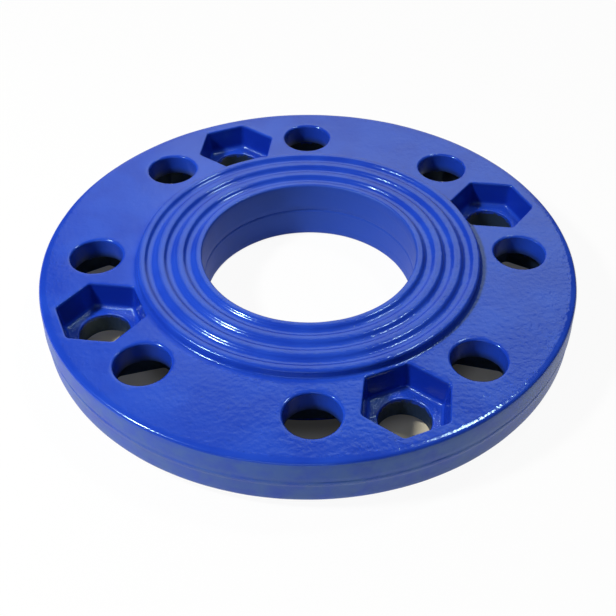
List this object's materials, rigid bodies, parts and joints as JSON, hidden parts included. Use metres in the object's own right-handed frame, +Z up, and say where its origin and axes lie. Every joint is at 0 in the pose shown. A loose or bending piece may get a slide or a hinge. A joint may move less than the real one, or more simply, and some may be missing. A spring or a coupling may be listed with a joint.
{
  "type": "flange adapter",
  "caption": "Round cast iron pipe flange adapter with a central bore, grooved raised faces and hexagon pockets that hold bolt heads, for joining unlike bolt patterns.",
  "frame": {"origin": "centre of the lower raised face, on the axis of the bore, where the adapter rests", "axes": "+Z up along the bore, towards the face with the fewer head pockets; +X through the centre of a bolt hole of the upper flange"},
  "size_m": [0.2008, 0.2008, 0.025],
  "materials": {
    "blue_epoxy": "glossy blue fusion bonded epoxy over rough cast iron"
  },
  "bodies": {
    "root": {"adapter_flange": "blue_epoxy"}
  },
  "joints": []
}
